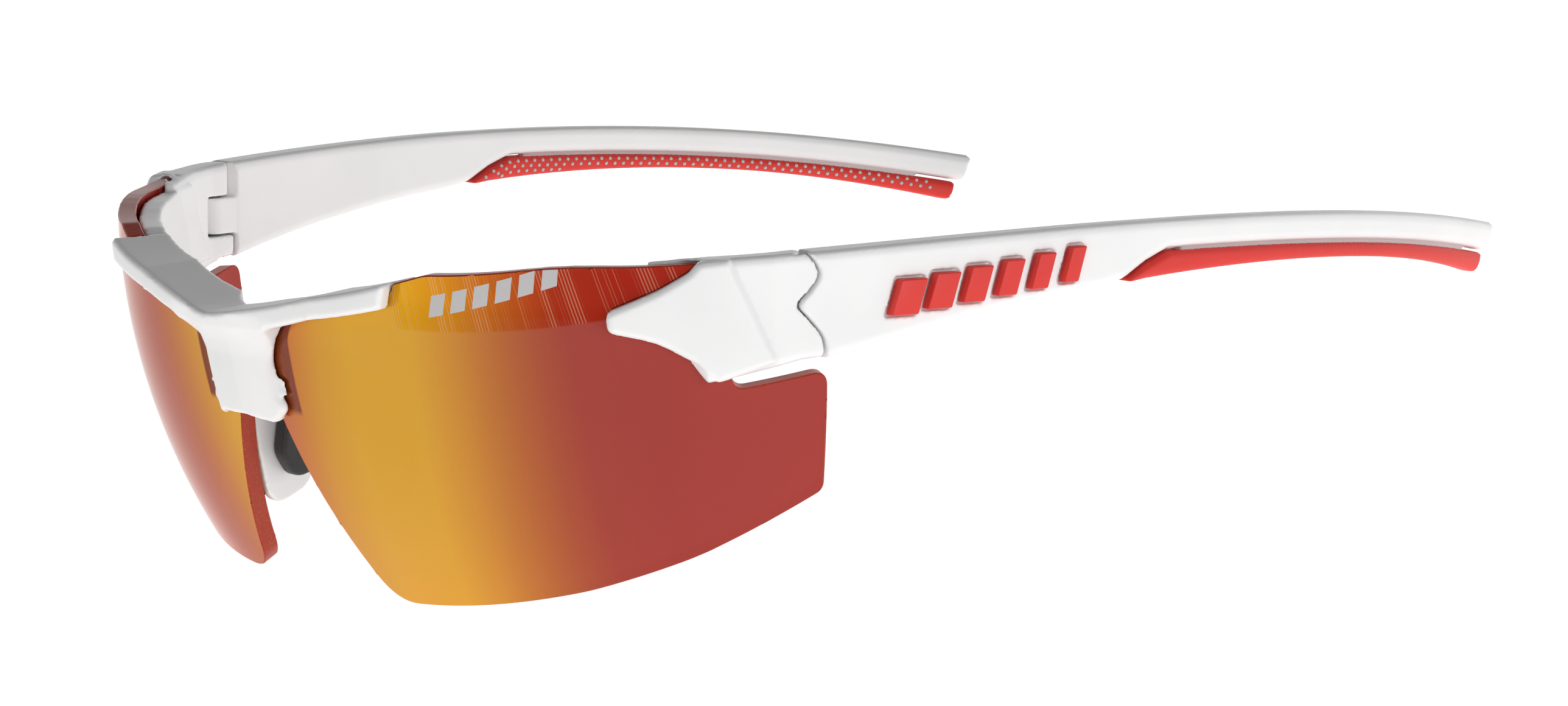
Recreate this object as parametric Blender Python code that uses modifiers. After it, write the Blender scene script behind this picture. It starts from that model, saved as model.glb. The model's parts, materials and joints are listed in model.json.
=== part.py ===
"""Wraparound sport sunglasses: a half-rim frame, two lenses, folding temples with rubber ear grips.

The pieces are drawn in the wearing position, with +X to the wearer's left, the front at -Y and +Z up,
and the height of the hinges' middle as Z = 0. A root empty then leans the whole object so that it
stands on its lens bottoms and ear tips, the way sunglasses lie on a table.
"""

import math

import bmesh
import bpy
import numpy as np
from mathutils import Matrix, Vector

MM = 0.001
DEG = math.pi / 180

# Fits
GAP = 0.3 * MM  # between any two pieces that touch
RUNNING = 0.2 * MM  # round the hinge screw in the tongue

# Lens: a shell of an ellipsoid that stands on its long axis and leans forward
LENS_RADIUS = 59.8 * MM  # the curve round the face
LENS_UPRIGHT = 72.2 * MM  # half the ellipsoid's height
LENS_LEAN = 27.85 * DEG
LENS_CENTRE = Vector((11.34, 22.45, -5.48)) * MM
LENS_THICKNESS = 2.3 * MM
# Corners of the lens: millimetres round the equator, millimetres up, corner radius
LENS_CORNERS = (
    (-7.1, 28.2, 1.5), (8.0, 30.6, 30.0), (21.0, 31.8, 0.5), (21.7, 33.2, 0.8), (27.0, 33.6, 8.0),
    (46.1, 31.0, 60.0), (63.8, 25.4, 1.2), (60.6, 10.7, 1.5), (71.6, 8.1, 1.6), (65.4, -5.3, 1.8),
    (48.7, -7.4, 60.0), (34.1, -8.1, 60.0), (3.4, -8.1, 6.0), (-4.6, 11.0, 30.0), (-7.1, 17.0, 8.0),
)

# Frame
RAIL_DEPTH = 2.8 * MM  # rail behind the lenses, front to back
RAIL_BACK = LENS_THICKNESS + GAP + RAIL_DEPTH
RAIL_THINNER = 1.3 * MM  # at its outer end, where a folded temple's tip comes
FRONT_PLATE = 2.2 * MM  # how far the brow's tip and the endpiece stand in front of the lens
BRIDGE_FRONT = 6.4 * MM  # the same at the middle of the brow
SCOOP_TOP, SCOOP_FADE = 29.6 * MM, 4.5 * MM  # heights up the lens: where the bridge's facets start
FILLET = 0.6 * MM  # chamfer round the front faces
BROW_FILLET = 0.45 * MM
SEAT = 0.15 * MM  # step between shapes joined into one moulding
BROW_CORNERS = (
    (-16.0, 28.9, 0), (-12.6, 29.2, 0), (-4.0, 30.6, 0), (8.0, 32.4, 0), (22.0, 33.4, 0.5),
    (20.6, 30.7, 0.5), (7.4, 29.9, 8.0), (-1.7, 28.3, 3.5), (-4.9, 24.0, 6.0), (-4.6, 20.5, 3.0),
    (-3.2, 18.2, 0.8), (-5.6, 16.3, 0.8), (-8.6, 17.6, 2.0), (-16.0, 17.5, 0),
)
RAIL_CORNERS = (
    (-6.5, 30.0, 0), (8.0, 32.2, 0), (22.0, 32.6, 0),
    (27.0, 32.9, 12.0), (46.1, 30.2, 60.0), (63.0, 25.0, 0), (63.0, 13.5, 0), (57.0, 15.5, 12.0),
    (46.0, 24.6, 20.0), (33.0, 27.4, 40.0), (22.0, 28.2, 40.0), (0.0, 26.5, 20.0), (-6.5, 24.0, 0),
)
ENDPIECE_CORNERS = (
    (66.5, 24.8, 0), (62.9, 25.9, 0.8), (61.4, 25.3, 3.0), (57.0, 24.8, 12.0), (50.2, 24.6, 1.2),
    (49.5, 22.4, 1.0), (54.6, 19.5, 10.0), (58.6, 14.8, 8.0), (59.3, 12.6, 0.5), (66.5, 12.0, 0),
)

# Hinge and temple, seen from above: half widths from the middle plane
HINGE_X = 65.0 * MM  # middle of the temple's wall at Y = 0
CROWN_X = 70.2 * MM  # widest place
CROWN_Y = 45.0 * MM
TIP_X = 54.0 * MM
TIP_Y = 115.4 * MM
ROOT_WALL = 5.2 * MM  # temple thickness at the hinge
ARM_WALL = 3.8 * MM  # at the crown
TIP_WALL = 3.3 * MM
# Temple, seen from the side
TOP_Z, TOP_Y = 6.5 * MM, 36.0 * MM  # highest place of the top edge
TOP_ROOT_DROP, TOP_TIP_DROP = 1.0 * MM, 6.5 * MM
UNDER_Z, UNDER_Y = 0.1 * MM, 60.0 * MM  # highest place of the bottom edge
UNDER_ROOT_DROP, UNDER_TIP_DROP = 7.0 * MM, 6.4 * MM
TIP_SLANT = 0.45
EDGE_ROUND = 1.0 * MM

# Ear grip
GRIP_START = 38.0 * MM
GRIP_FIRST = 40.4 * MM  # the grip's thin front end
STATION_STEP = 3.6 * MM
GRIP_SHOULDER = 47.5 * MM
BAND_HEIGHT = 3.5 * MM  # white plastic left above the grip
GRIP_PROUD = 0.2 * MM
RIB_WALL, RIB_DEPTH = 1.3 * MM, 1.2 * MM  # rib of the temple that the grip is moulded round

# Hinge
PIN_IN = 1.9 * MM  # pin axis from the inner wall
PIN_Y = -4.7 * MM
TONGUE_RADIUS = 1.8 * MM
TONGUE_LOW, TONGUE_HIGH = -4.0 * MM, 0.8 * MM
SCREW_RADIUS, SCREW_HEAD_RADIUS, SCREW_HEAD = 0.7 * MM, 1.1 * MM, 0.7 * MM
SCREW_LOW, SCREW_TOP = -7.0 * MM, 4.2 * MM
LUG_REACH_TOP, LUG_REACH_LOW = 2.1 * MM, 2.9 * MM  # how far the lugs reach behind the pin
FOLD_MITRE = 2.5 * MM  # where the mitre's line passes behind the pin
# Outer seam, side view: Y and Z in millimetres
SEAM = (
    (-3.7, 6.6), (-2.9, 5.1), (-1.8, 3.0), (-2.8, 1.1),
    (-4.3, -0.7), (-3.0, -2.4), (-1.3, -4.7), (-1.0, -7.6),
)

# Nose legs and pads, side view: Y and Z in millimetres, corner radius
LEG_CORNERS = (
    (-38.0, -15.5, 0), (-35.5, -20.5, 2.0), (-30.6, -28.6, 4.0), (-27.5, -31.6, 2.5), (-22.6, -29.6, 3.0),
    (-20.8, -23.0, 4.0), (-23.0, -16.0, 5.0), (-28.5, -11.0, 5.0), (-34.8, -7.6, 0), (-38.0, -7.6, 0),
)
LEG_X, LEG_Z, LEG_Y = 10.6 * MM, -27.0 * MM, -27.0 * MM  # a point of the leg's middle sheet
LEG_SPLAY, LEG_TOE = 0.21, 0.22  # how much wider per millimetre down and per millimetre back
LEG_WALL = 1.8 * MM
# Block between the bridge and the leg: its front and its back
LEG_ROOT = (
    ((1.5, -39.0, -8.0), (8.6, -38.6, -8.0), (8.6, -38.2, -15.0), (1.5, -38.6, -15.0)),
    ((3.4, -34.8, -9.0), (7.6, -34.0, -9.0), (8.2, -34.0, -14.0), (4.2, -34.8, -14.0)),
)
PAD_CORNERS = (
    (-29.8, -15.0, 2.0), (-29.8, -24.5, 2.5), (-27.0, -28.0, 2.5),
    (-23.4, -27.0, 2.5), (-21.9, -22.0, 3.0), (-24.0, -16.0, 2.5),
)
PAD_THICK = 2.6 * MM
PAD_STUD_RADIUS = 1.2 * MM
PAD_STUD = Vector((0, -25.8, -21.6)) * MM

# Badge: slanted bars on each temple
BAR_COUNT = 6
BAR_FIRST, BAR_PITCH, BAR_WIDTH, BAR_SLANT = 7.2 * MM, 4.7 * MM, 3.5 * MM, 1.3 * MM
BAR_HEIGHT, BAR_PROUD, BAR_SINK = 4.2 * MM, 0.9 * MM, 0.8 * MM
BAR_Z, BAR_CLIMB, BAR_NARROWING = -0.3 * MM, 0.105, 0.28 * MM

for old in list(bpy.data.objects):
    bpy.data.objects.remove(old)


def collection(name):
    made = bpy.data.collections.new(name)
    bpy.context.scene.collection.children.link(made)
    return made


parts = collection("sport_sunglasses")
cutters = collection("cutters")
root = bpy.data.objects.new("sport_sunglasses_root", None)
parts.objects.link(root)


def material(name, colour, roughness, metallic=0.0):
    made = bpy.data.materials.new(name)
    made.use_nodes = True
    shader = made.node_tree.nodes["Principled BSDF"]
    shader.inputs["Base Color"].default_value = (*colour, 1)
    shader.inputs["Roughness"].default_value = roughness
    shader.inputs["Metallic"].default_value = metallic
    return made


WHITE = material("satin_white_nylon", (0.86, 0.86, 0.86), 0.35)
RED = material("red_rubber", (0.72, 0.04, 0.03), 0.55)
BLACK = material("black_rubber", (0.02, 0.02, 0.02), 0.6)
GOLD = material("mirrored_lens", (0.75, 0.28, 0.07), 0.12)
STEEL = material("steel", (0.6, 0.6, 0.62), 0.3, 1.0)


def add(name, mesh, look=None):
    """A part takes a look; a cutter has none and stays out of the build."""
    made = bpy.data.objects.new(name, mesh)
    made.parent = root
    if look:
        mesh.materials.append(look)
        mesh.shade_smooth()
        mesh.set_sharp_from_angle(angle=35 * DEG)
        parts.objects.link(made)
    else:
        made.hide_render = True
        made.display_type = "WIRE"
        cutters.objects.link(made)
    return made


def finish(bm, name, look=None):
    bmesh.ops.recalc_face_normals(bm, faces=bm.faces[:])
    mesh = bpy.data.meshes.new(name)
    bm.to_mesh(mesh)
    bm.free()
    return add(name, mesh, look)


def rounded(corners, scale=MM):
    """The outline through corners of (u, v, radius), each corner an arc."""
    points = [Vector((u, v)) * scale for u, v, _ in corners]
    outline = []
    for k, here in enumerate(points):
        before, after = points[k - 1], points[(k + 1) % len(points)]
        radius = corners[k][2] * scale
        into, out = (here - before), (after - here)
        turn = into.angle_signed(out, 0.0)
        if radius == 0 or abs(turn) < 2 * DEG:
            outline.append(here)
            continue
        tangent = min(radius * math.tan(abs(turn) / 2), into.length * 0.49, out.length * 0.49)
        start, end = here - into.normalized() * tangent, here + out.normalized() * tangent
        steps = max(2, math.ceil(abs(turn) / (22 * DEG)))
        for step in range(steps + 1):
            t = step / steps
            outline.append(start * (1 - t) ** 2 + here * 2 * t * (1 - t) + end * t * t)
    return outline


def bent_plate(name, outline, place, back, front, spacing, look=None, soft=0.0):
    """A flat outline with thickness, bent by place(u, v, depth); back and front are functions of u, v.

    soft is the chamfer round the front face.
    """
    area = sum(outline[k - 1].cross(outline[k]) for k in range(len(outline)))
    flat = bmesh.new()
    flat.faces.new([flat.verts.new((u, v, 0)) for u, v in (outline if area > 0 else reversed(outline))])
    for axis in (0, 1):
        low = min(point[axis] for point in outline)
        high = max(point[axis] for point in outline)
        normal = Vector((1, 0, 0)) if axis == 0 else Vector((0, 1, 0))
        count = math.ceil((high - low) / spacing)
        for k in range(1, count):
            everything = flat.verts[:] + flat.edges[:] + flat.faces[:]
            at = normal * (low + (high - low) * k / count)
            bmesh.ops.bisect_plane(flat, geom=everything, dist=1e-6, plane_co=at, plane_no=normal)
    flat.verts.index_update()
    solid = bmesh.new()
    inset = [v.co.xy - outward_of(v) * soft for v in flat.verts]
    near = [solid.verts.new(place(at.x, at.y, front(at.x, at.y))) for at in inset]
    far = [solid.verts.new(place(v.co.x, v.co.y, back(v.co.x, v.co.y))) for v in flat.verts]
    rim = [v for v in flat.verts if v.is_boundary]
    rows = [{v.index: near[v.index] for v in rim}, {v.index: far[v.index] for v in rim}]
    if soft:
        depth = {v.index: front(v.co.x, v.co.y) - soft for v in rim}
        rows.insert(1, {v.index: solid.verts.new(place(v.co.x, v.co.y, depth[v.index])) for v in rim})
    for face in flat.faces:
        ring = [v.index for v in face.verts]
        solid.faces.new([near[k] for k in ring])
        solid.faces.new([far[k] for k in reversed(ring)])
    for edge in flat.edges:
        if edge.is_boundary:
            a, b = (v.index for v in edge.verts)
            for one, two in zip(rows, rows[1:]):
                solid.faces.new([one[a], one[b], two[b], two[a]])
    flat.free()
    return finish(solid, name, look)


def outward_of(vert):
    """The direction out of a flat outline at one of its corners; zero inside it."""
    total = Vector((0, 0))
    for edge in vert.link_edges:
        if edge.is_boundary:
            run = (edge.verts[1].co - edge.verts[0].co).xy.normalized()
            normal = Vector((-run.y, run.x))
            inside = edge.link_faces[0].calc_center_median().xy - edge.verts[0].co.xy
            total += normal if normal.dot(inside) < 0 else -normal
    return total.normalized() if total.length > 0 else total


def loft(name, rings, look=None):
    """A closed skin through rings of points, with flat ends."""
    solid = bmesh.new()
    made = [[solid.verts.new(point) for point in ring] for ring in rings]
    for one, two in zip(made, made[1:]):
        for k in range(len(one)):
            following = (k + 1) % len(one)
            solid.faces.new([one[k], one[following], two[following], two[k]])
    solid.faces.new(list(reversed(made[0])))
    solid.faces.new(made[-1])
    return finish(solid, name, look)


def rod(name, radius, start, end, look=None, sides=24):
    """A cylinder from start to end."""
    solid = bmesh.new()
    run = Vector(end) - Vector(start)
    turn = run.to_track_quat("Z", "Y").to_matrix().to_4x4()
    at = Matrix.Translation((Vector(start) + Vector(end)) / 2) @ turn
    bmesh.ops.create_cone(
        solid, cap_ends=True, segments=sides, radius1=radius, radius2=radius, depth=run.length, matrix=at
    )
    return finish(solid, name, look)


def combine(target, tool, operation):
    step = target.modifiers.new(tool.name, "BOOLEAN")
    step.operation = operation
    step.solver = "EXACT"
    step.object = tool


def join(target, *tools):
    for tool in tools:
        combine(target, tool, "UNION")


def cut(target, *tools):
    for tool in tools:
        combine(target, tool, "DIFFERENCE")


def curve_through(knots):
    """A function that runs straight from knot to knot."""
    places = [place for place, _ in knots]
    values = [value for _, value in knots]
    return lambda u: float(np.interp(u, places, values))


# Lens surface and frame


def wrap(arc, height, depth=0.0):
    """The point at an arc round the lens, a height up it and a depth in front of its face."""
    angle = arc / LENS_RADIUS
    ring = LENS_RADIUS * math.sqrt(1 - (height / LENS_UPRIGHT) ** 2)
    point = Vector((ring * math.sin(angle), -ring * math.cos(angle), height))
    squares = (LENS_RADIUS**2, LENS_RADIUS**2, LENS_UPRIGHT**2)
    outward = Vector([point[k] / squares[k] for k in range(3)]).normalized()
    return LENS_CENTRE + Matrix.Rotation(LENS_LEAN, 3, "X") @ (point + outward * depth)


def grown(corners, by):
    """The outline of corners moved outwards by a distance."""
    outline = rounded(corners)
    moved = []
    for k, here in enumerate(outline):
        run = (outline[(k + 1) % len(outline)] - outline[k - 1]).normalized()
        moved.append(here + Vector((-run.y, run.x)) * by)
    return moved


def lens(name, look):
    back = lambda u, v: -LENS_THICKNESS
    front = lambda u, v: 0.0
    return bent_plate(name, rounded(LENS_CORNERS), wrap, back, front, 4.5 * MM, look)


rail_back = curve_through((
    (-12 * MM, -0.4 * MM), (-7 * MM, -4.0 * MM), (8 * MM, -RAIL_BACK),
    (50 * MM, -RAIL_BACK), (59 * MM, -RAIL_BACK + RAIL_THINNER),
))


bridge_front = curve_through((  # across the bridge: a flat middle and a facet down to each lens
    (-11.3 * MM, 4.7 * MM), (-8.1 * MM, 3.8 * MM), (-4.6 * MM, 1.2 * MM), (-3.0 * MM, 1.1 * MM),
))


def ease(t):
    """A smooth step from 0 to 1."""
    t = min(1.0, max(0.0, t))
    return t * t * (3 - 2 * t)


def brow_front(arc, height):
    """The brow stands further forward at the middle than at its tips; below it the bridge has facets."""
    middle = min(1.0, max(0.0, (22 * MM - arc) / (33.3 * MM))) ** 3.5
    brow = FRONT_PLATE + (BRIDGE_FRONT - FRONT_PLATE) * middle
    under = ease((SCOOP_TOP - height) / SCOOP_FADE)
    return brow * (1 - under) + bridge_front(arc) * under


def temple_middle(y):
    if y < CROWN_Y:
        return CROWN_X - (CROWN_X - HINGE_X) * ((CROWN_Y - y) / CROWN_Y) ** 2
    return CROWN_X - (CROWN_X - TIP_X) * ((y - CROWN_Y) / (TIP_Y - CROWN_Y)) ** 2.1


temple_wall = curve_through(((0, ROOT_WALL), (CROWN_Y, ARM_WALL), (TIP_Y, TIP_WALL)))


def temple_top(y):
    if y < TOP_Y:
        return TOP_Z - TOP_ROOT_DROP * ((TOP_Y - y) / TOP_Y) ** 1.6
    return TOP_Z - TOP_TIP_DROP * ((y - TOP_Y) / (TIP_Y - TOP_Y)) ** 2.35


def temple_under(y):
    if y < UNDER_Y:
        return UNDER_Z - UNDER_ROOT_DROP * ((UNDER_Y - y) / UNDER_Y) ** 2
    return UNDER_Z - UNDER_TIP_DROP * ((y - UNDER_Y) / (TIP_Y - UNDER_Y)) ** 2


def band_under(y):
    """Bottom of the white plastic: the temple's own bottom, then an S up to the top of the grip."""
    along = ease((y - GRIP_START) / (GRIP_SHOULDER - GRIP_START))
    return temple_under(y) * (1 - along) + (temple_top(y) - BAND_HEIGHT) * along


PIN_X = temple_middle(PIN_Y) - ROOT_WALL / 2 + PIN_IN


def wall_ring(y, low, high, wall, slant=0.0, rounding=EDGE_ROUND, proud=0.0):
    """A rounded upright section of the temple at Y, leaning back at its foot by slant."""
    middle, half = temple_middle(y), wall / 2 + proud
    radius = min(rounding, half * 0.8, (high - low) * 0.45)
    ring = []
    for side, level, start in ((1, 1, 0), (-1, 1, 90), (-1, -1, 180), (1, -1, 270)):
        for step in range(3):
            angle = (start + 45 * step) * DEG
            x = middle + side * (half - radius) + radius * math.cos(angle)
            z = (high - radius if level > 0 else low + radius) + radius * math.sin(angle)
            ring.append(Vector((x, y + slant * (z - temple_top(y)), z)))
    return ring


def tip_slant(y):
    return TIP_SLANT * max(0.0, (y - 85 * MM) / (TIP_Y - 85 * MM))


def stations(start, end):
    """Where the temple and its grip have sections: the same places for both, so that their gap is even."""
    shared = [GRIP_FIRST, *(k * STATION_STEP for k in range(-4, math.ceil(end / STATION_STEP)))]
    return [start, *sorted(y for y in shared if start + 0.4 * MM < y < end - 0.4 * MM), end]


def endpiece_block():
    """The endpiece from behind the lens to past the hinge: rings of outer, inner, bottom and top."""
    rings = []
    plan = (
        ((55.4, -18.8), (53.2, -16.2), -1.0, 4.1), ((58.0, -15.7), (55.5, -13.5), -6.0, 4.5),
        ((61.8, -14.1), (57.6, -11.2), -9.6, 4.8), ((63.6, -10.7), (59.5, -8.8), -8.9, 5.0),
        ((65.35, -7.2), (61.0, -5.8), -8.0, 5.2), ((66.4, -3.6), (61.8, -2.8), -7.2, 5.4),
    )
    for outer, inner, low, high in plan:
        rings.append(upright_ring(Vector(outer) * MM, Vector(inner) * MM, low * MM, high * MM))
    for y in (0.5 * MM, 3 * MM):
        rings.append(wall_ring(y, temple_under(y), temple_top(y), temple_wall(y)))
    return loft("endpiece_block", rings)


def upright_ring(outer, inner, low, high, radius=EDGE_ROUND):
    """An upright section between two points of the plan, with rounded corners."""
    across = (outer - inner).normalized()
    ring = []
    turns = ((outer, 1, 1, 0), (inner, -1, 1, 90), (inner, -1, -1, 180), (outer, 1, -1, 270))
    for end, side, level, start in turns:
        for step in range(3):
            angle = (start + 45 * step) * DEG
            plan = end + across * (radius * math.cos(angle) - side * radius)
            z = (high - radius if level > 0 else low + radius) + radius * math.sin(angle)
            ring.append(Vector((plan.x, plan.y, z)))
    return ring


def seam_cutter(name, seam, low_x, high_x, ahead):
    """A block whose face follows the seam: everything behind it, or everything ahead of it."""
    far = -14 * MM if ahead else 12 * MM
    outline = [*seam, (far, seam[-1][1]), (far, seam[0][1])]
    rings = [[Vector((x, y, z)) for y, z in outline] for x in (low_x, high_x)]
    return loft(name, rings)


def seam_curve(shift):
    """The outer seam as a smooth S, moved back by shift."""
    points = [Vector((y, z)) * MM for y, z in SEAM]
    smooth = []
    for k in range(len(points) - 1):
        before, after = points[max(k - 1, 0)], points[min(k + 2, len(points) - 1)]
        for step in range(3):
            t = step / 3
            a, b = points[k], points[k + 1]
            bend_a, bend_b = (b - before) / 2, (after - a) / 2
            y = (a * (2 * t**3 - 3 * t**2 + 1) + b * (3 * t**2 - 2 * t**3)
                 + bend_a * (t**3 - 2 * t**2 + t) + bend_b * (t**3 - t**2))
            smooth.append(y)
    smooth.append(points[-1])
    seam = [(point.x + shift, point.y) for point in smooth]
    return [(seam[0][0], 15 * MM), *seam, (seam[-1][0], -15 * MM)]


def inner_seam(shift):
    """The seam between the lugs and the temple on the inside: two short steps."""
    top, low = PIN_Y + LUG_REACH_TOP + shift, PIN_Y + LUG_REACH_LOW + shift
    split = (TONGUE_LOW + TONGUE_HIGH) / 2
    return [(top, 15 * MM), (top, split), (low, split), (low, -15 * MM)]


SKIN_X = PIN_X + LUG_REACH_TOP + GAP  # inside this the seam has steps, outside it is the S


def pin_rod(name, radius, low, high, look=None):
    return rod(name, radius, (PIN_X, PIN_Y, low), (PIN_X, PIN_Y, high), look)


def front_frame():
    frame = bent_plate(
        "front_frame", rounded(BROW_CORNERS), wrap,
        lambda u, v: rail_back(u) + SEAT, brow_front, 1.8 * MM, WHITE, BROW_FILLET,
    )
    rail = bent_plate(
        "rail", rounded(RAIL_CORNERS), wrap,
        lambda u, v: rail_back(u), lambda u, v: -SEAT - LENS_THICKNESS, 5 * MM,
    )
    face = bent_plate(
        "endpiece_face", rounded(ENDPIECE_CORNERS), wrap,
        lambda u, v: -1.0 * MM, lambda u, v: FRONT_PLATE, 2.8 * MM, soft=FILLET,
    )
    leg = bent_plate(
        "nose_leg", rounded(LEG_CORNERS), leg_place,
        lambda u, v: -LEG_WALL / 2, lambda u, v: LEG_WALL / 2, 5 * MM,
    )
    leg_root = loft("nose_leg_root", [
        [Vector(corner) * MM for corner in ring] for ring in LEG_ROOT
    ])
    join(frame, rail, face, endpiece_block(), leg_root, leg)
    slot = bent_plate(
        "lens_slot", grown(LENS_CORNERS, GAP), wrap,
        lambda u, v: -LENS_THICKNESS - GAP, lambda u, v: GAP, 4.5 * MM,
    )
    stud_hole = pad_stud("pad_stud_hole", PAD_STUD_RADIUS + GAP, None)
    cut(frame, slot, stud_hole)
    cut_hinge_lugs(frame)
    halves = frame.modifiers.new("halves", "MIRROR")
    halves.use_axis = (True, False, False)
    halves.use_bisect_axis = (True, False, False)
    halves.merge_threshold = 0.00001
    return frame


def cut_hinge_lugs(frame):
    far = 90 * MM
    outer = seam_cutter("lug_outer_seam", seam_curve(-GAP / 2), SKIN_X - GAP, far, False)
    inner = seam_cutter("lug_inner_seam", inner_seam(0), 40 * MM, SKIN_X, False)
    pocket = tongue_pocket()
    hole = pin_rod("screw_hole", SCREW_RADIUS + RUNNING, -12 * MM, SCREW_TOP + GAP)
    seat = SCREW_LOW + SCREW_HEAD + GAP
    counterbore = pin_rod("screw_counterbore", SCREW_HEAD_RADIUS + GAP, -12 * MM, seat)
    corners = [
        corner_round("lug_corner_top", -1, LUG_REACH_TOP, TONGUE_HIGH, 9 * MM),
        corner_round("lug_corner_top_outer", 1, LUG_REACH_TOP, TONGUE_HIGH, 9 * MM),
        corner_round("lug_corner_low", -1, LUG_REACH_LOW, -12 * MM, TONGUE_LOW),
    ]
    cut(frame, outer, inner, pocket, *corners, hole, counterbore)


def upright_block(name, outline, low, high):
    """A block with an outline of X and Y, between two heights."""
    return loft(name, [[Vector((x, y, z)) for x, y in outline] for z in (low, high)])


def tongue_pocket():
    """Room for the tongue at every angle: round in front of the pin, so that the outer skin stays whole."""
    reach = TONGUE_RADIUS + GAP
    outline = [(40 * MM, 12 * MM), (40 * MM, PIN_Y - reach)]
    for step in range(7):
        angle = 90 * DEG * step / 6
        outline.append((PIN_X + reach * math.sin(angle), PIN_Y - reach * math.cos(angle)))
    outline += [(SKIN_X, PIN_Y + 0.3 * MM), (SKIN_X, 12 * MM)]
    return upright_block("tongue_pocket", outline, TONGUE_LOW - GAP, TONGUE_HIGH + GAP)


def corner_round(name, side, reach, low, high):
    """What lies outside the lug's round end, on its outer side or its inner side."""
    steps = 7
    edge = SKIN_X + 0.03 * MM if side > 0 else PIN_X - 9 * MM
    points = [Vector((edge, PIN_Y + reach + 9 * MM)), Vector((PIN_X, PIN_Y + reach + 9 * MM))]
    for step in range(steps + 1):
        angle = 90 * DEG * step / steps
        points.append(Vector((PIN_X + side * reach * math.sin(angle), PIN_Y + reach * math.cos(angle))))
    points.append(Vector((edge, points[-1].y)))
    return loft(name, [[Vector((x, y, z)) for x, y in points] for z in (low, high)])


def leg_place(y, z, depth):
    x = LEG_X + LEG_SPLAY * (LEG_Z - z) + LEG_TOE * (y - LEG_Y)
    return Vector((x + depth, y, z))


def pad_stud(name, radius, look):
    middle = leg_place(PAD_STUD.y, PAD_STUD.z, 0)
    outward = Vector((1, -LEG_TOE, LEG_SPLAY)).normalized()
    return rod(name, radius, middle - outward * 3 * MM, middle + outward * 2.2 * MM, look, 16)


def temple():
    """The white temple with its tongue, and the rib that the grip is moulded round."""
    rings = []
    for y in stations(-12 * MM, TIP_Y):
        rings.append(wall_ring(y, band_under(y), temple_top(y), temple_wall(y), tip_slant(y)))
    arm = loft("temple_left", rings, WHITE)
    rib = temple_rib("grip_rib", 0.0)
    cut(arm, seam_cutter("temple_outer_seam", seam_curve(GAP / 2), SKIN_X - GAP, 90 * MM, True))
    cut(arm, seam_cutter("temple_inner_seam", inner_seam(GAP), 40 * MM, SKIN_X, True))
    cut(arm, pin_rod("lug_sweep_top", LUG_REACH_TOP + GAP, TONGUE_HIGH, 9 * MM))
    cut(arm, pin_rod("lug_sweep_low", LUG_REACH_LOW + GAP, -12 * MM, TONGUE_LOW))
    cut(arm, fold_mitre())
    ahead = (PIN_Y, -2 * MM, 0.5 * MM, 3 * MM)
    outline = [(temple_middle(y) - temple_wall(y) / 2 + 0.1 * MM, y) for y in ahead]
    outline += [(PIN_X + TONGUE_RADIUS, 3 * MM), (PIN_X + TONGUE_RADIUS, PIN_Y)]
    neck = upright_block("tongue_neck", outline, TONGUE_LOW, TONGUE_HIGH)
    eye = pin_rod("tongue_eye", TONGUE_RADIUS, TONGUE_LOW + 0.02 * MM, TONGUE_HIGH - 0.02 * MM)
    join(arm, neck, eye, rib)
    cut(arm, pin_rod("tongue_hole", SCREW_RADIUS + RUNNING, -12 * MM, 12 * MM))
    return arm


def fold_mitre():
    """The inner front corner of the temple, cut away so that it can turn past the endpiece."""
    near, deep = PIN_Y + FOLD_MITRE - 0.9 * MM, PIN_Y + FOLD_MITRE + 4 * MM
    points = ((PIN_X - 4 * MM, deep), (PIN_X - 4 * MM, near), (PIN_X + 0.9 * MM, near))
    return loft("fold_mitre", [[Vector((x, y, z)) for x, y in points] for z in (-12 * MM, 9 * MM)])


def temple_rib(name, by):
    rings = []
    for y in stations(GRIP_SHOULDER + 2 * MM - by, TIP_Y - 6 * MM + by):
        high = band_under(y) + 1 * MM
        low = band_under(y) - RIB_DEPTH - by
        rings.append(wall_ring(y, low, high, RIB_WALL + 2 * by, tip_slant(y), 0.2 * MM))
    return loft(name, rings)


def ear_grip():
    rings = []
    for y in stations(GRIP_FIRST, TIP_Y - 1.0 * MM):
        high = band_under(y) - GAP
        low = temple_under(y)
        rings.append(wall_ring(y, low, high, temple_wall(y), tip_slant(y), 0.8 * MM, GRIP_PROUD))
    grip = loft("ear_grip_left", rings, RED)
    cut(grip, temple_rib("rib_groove", GAP))
    return grip


def bar_outline(k, by):
    """A slanted bar, grown by a distance on each side."""
    start = BAR_FIRST + k * BAR_PITCH
    width = BAR_WIDTH - BAR_NARROWING * k
    half = BAR_HEIGHT / 2 + by
    slant = Vector((BAR_SLANT * half / BAR_HEIGHT, half))
    left = Vector((start - by, BAR_Z + BAR_CLIMB * (start - BAR_FIRST)))
    right = left + Vector((width + 2 * by, 0))
    return [left - slant, right - slant, right + slant, left + slant]


def temple_place(y, z, depth):
    return Vector((temple_middle(y) + temple_wall(y) / 2 + depth, y, z))


def badge_bars(arm):
    bars = []
    for k in range(BAR_COUNT):
        recess = bent_plate(
            f"bar_recess_{k + 1}", bar_outline(k, 1.05 * GAP), temple_place,
            lambda u, v: -BAR_SINK, lambda u, v: 2 * MM, 6 * MM,
        )
        cut(arm, recess)
        bars.append(bent_plate(
            f"badge_bar_left_{k + 1}", bar_outline(k, 0.0), temple_place,
            lambda u, v: -BAR_SINK + GAP, lambda u, v: BAR_PROUD, 6 * MM, RED,
        ))
    return bars


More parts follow.
